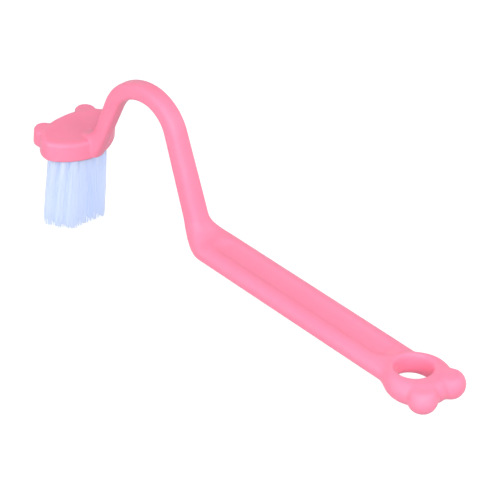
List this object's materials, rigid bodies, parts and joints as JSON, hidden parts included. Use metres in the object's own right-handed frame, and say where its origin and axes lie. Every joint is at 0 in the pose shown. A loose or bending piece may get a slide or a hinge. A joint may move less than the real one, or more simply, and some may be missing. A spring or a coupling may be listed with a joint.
{
  "type": "pet toothbrush",
  "caption": "Bent-neck pet toothbrush: eared oval head with long bristle tufts, arched neck, flat grooved grip and a knobbed hang ring.",
  "frame": {"origin": "middle of the hang hole, on its axis and half way through the ring's thickness", "axes": "-X along the brush from the hang hole to the head, +Z along the hole's axis, up from the grip's grooved face, with the bristles pointing along -Z, and +Y across the brush"},
  "size_m": [0.2085, 0.034, 0.0767],
  "materials": {
    "body_plastic": "smooth injection-moulded pink plastic with a soft satin gloss",
    "bristle_nylon": "pale bluish-white translucent nylon filaments",
    "anchor_metal": "plain cut metal strip, hidden in the head"
  },
  "bodies": {
    "root": {"moulded_body": "body_plastic", "tuft_01": "bristle_nylon", "tuft_02": "bristle_nylon", "tuft_03": "bristle_nylon", "tuft_04": "bristle_nylon", "tuft_05": "bristle_nylon", "tuft_06": "bristle_nylon", "tuft_07": "bristle_nylon", "tuft_08": "bristle_nylon", "tuft_09": "bristle_nylon", "tuft_10": "bristle_nylon", "tuft_11": "bristle_nylon", "tuft_12": "bristle_nylon", "tuft_13": "bristle_nylon", "tuft_14": "bristle_nylon", "tuft_15": "bristle_nylon", "tuft_16": "bristle_nylon", "tuft_17": "bristle_nylon", "tuft_18": "bristle_nylon", "tuft_19": "bristle_nylon", "tuft_20": "bristle_nylon", "tuft_21": "bristle_nylon", "tuft_22": "bristle_nylon", "tuft_23": "bristle_nylon", "tuft_24": "bristle_nylon", "tuft_25": "bristle_nylon", "tuft_26": "bristle_nylon", "tuft_27": "bristle_nylon", "tuft_28": "bristle_nylon", "tuft_29": "bristle_nylon", "anchor_01": "anchor_metal", "anchor_02": "anchor_metal", "anchor_03": "anchor_metal", "anchor_04": "anchor_metal", "anchor_05": "anchor_metal", "anchor_06": "anchor_metal", "anchor_07": "anchor_metal", "anchor_08": "anchor_metal", "anchor_09": "anchor_metal", "anchor_10": "anchor_metal", "anchor_11": "anchor_metal", "anchor_12": "anchor_metal", "anchor_13": "anchor_metal", "anchor_14": "anchor_metal", "anchor_15": "anchor_metal", "anchor_16": "anchor_metal", "anchor_17": "anchor_metal", "anchor_18": "anchor_metal", "anchor_19": "anchor_metal", "anchor_20": "anchor_metal", "anchor_21": "anchor_metal", "anchor_22": "anchor_metal", "anchor_23": "anchor_metal", "anchor_24": "anchor_metal", "anchor_25": "anchor_metal", "anchor_26": "anchor_metal", "anchor_27": "anchor_metal", "anchor_28": "anchor_metal", "anchor_29": "anchor_metal"}
  },
  "joints": []
}
